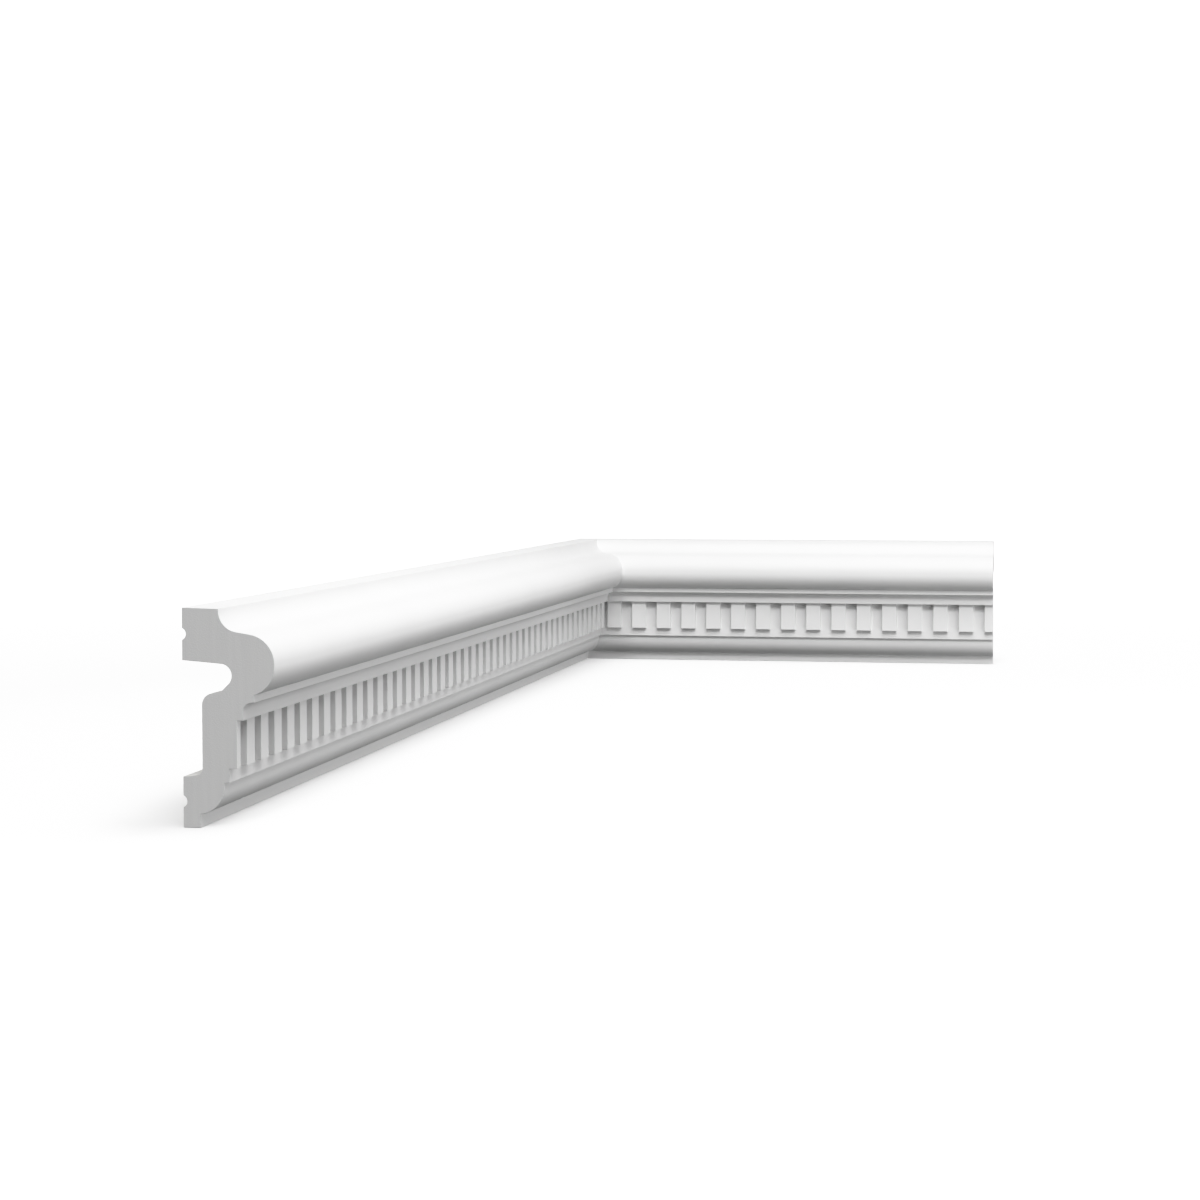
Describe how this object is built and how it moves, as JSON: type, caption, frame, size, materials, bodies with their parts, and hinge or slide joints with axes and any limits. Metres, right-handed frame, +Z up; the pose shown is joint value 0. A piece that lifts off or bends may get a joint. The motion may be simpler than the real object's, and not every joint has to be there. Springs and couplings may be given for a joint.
{
  "type": "wall moulding",
  "caption": "Dentil wall moulding with a cyma head and hollow back, two plain lengths mitred round an inside wall corner.",
  "frame": {"origin": "middle of the bounding box, on the underside", "axes": "+Z up; the left length runs along Y with its back towards -X, the right length runs along X with its back towards +Y; the wall corner is at -X, +Y"},
  "size_m": [0.24, 0.6856, 0.07],
  "materials": {
    "moulding_white": "white primed rigid foam, smooth and matt, with a finely porous cut end"
  },
  "bodies": {
    "root": {"left_length": "moulding_white", "right_length": "moulding_white"}
  },
  "joints": []
}
